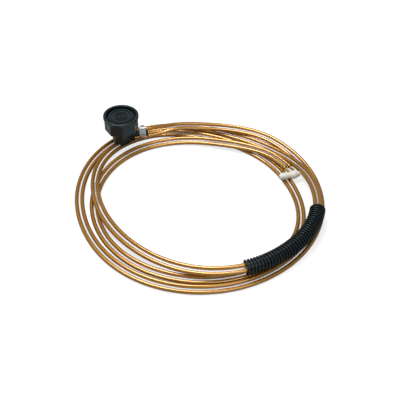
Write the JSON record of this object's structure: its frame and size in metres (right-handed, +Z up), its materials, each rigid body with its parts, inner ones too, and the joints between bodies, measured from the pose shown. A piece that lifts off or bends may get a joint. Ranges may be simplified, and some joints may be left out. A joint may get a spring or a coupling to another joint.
{
  "type": "immersion wort chiller",
  "caption": "Loose flat coil of flexible twin hose with a screw-on tap head at one end, a clamp, a corrugated guard sleeve and a white return bend.",
  "frame": {"origin": "middle of the whole object's box, on the floor that the coil lies on", "axes": "+Z up; the tap head is at -X +Y, the guard sleeve at +X -Y, and the picture looks along +Y from the front"},
  "size_m": [0.3118, 0.3116, 0.05],
  "materials": {
    "black_moulding": "satin black plastic",
    "steel_mesh": "woven stainless mesh",
    "black_rubber": "matte rubber",
    "white_moulding": "white plastic",
    "zinc_steel": "zinc-plated steel",
    "amber_tube": "glossy translucent amber tube",
    "clear_web": "nearly clear strip",
    "black_conduit": "satin black corrugated plastic",
    "brass_ring": "plain brass"
  },
  "bodies": {
    "hose_and_head": {"adaptor_body": "black_moulding", "strainer_cup": "black_moulding", "strainer_mesh": "steel_mesh", "cup_o_ring": "black_rubber", "sealing_washer": "black_rubber", "slip_ring": "white_moulding", "supply_spigot": "black_moulding", "return_spigot": "black_moulding", "hose_clamp": "zinc_steel", "supply_tube": "amber_tube", "return_tube": "amber_tube", "hose_web": "clear_web", "guard_sleeve": "black_conduit", "supply_bend_tail": "white_moulding", "return_bend_tail": "white_moulding", "supply_ferrule": "brass_ring", "return_ferrule": "brass_ring", "end_fitting": "white_moulding", "passage_plug": "brass_ring"},
    "nut": {"union_nut": "black_moulding"}
  },
  "joints": [
    {"name": "nut_spin", "type": "hinge", "parent": "hose_and_head", "child": "nut", "pos_m": [-0.10316, 0.11436, 0.0388], "axis": [0, 0, 1], "continuous": true}
  ]
}
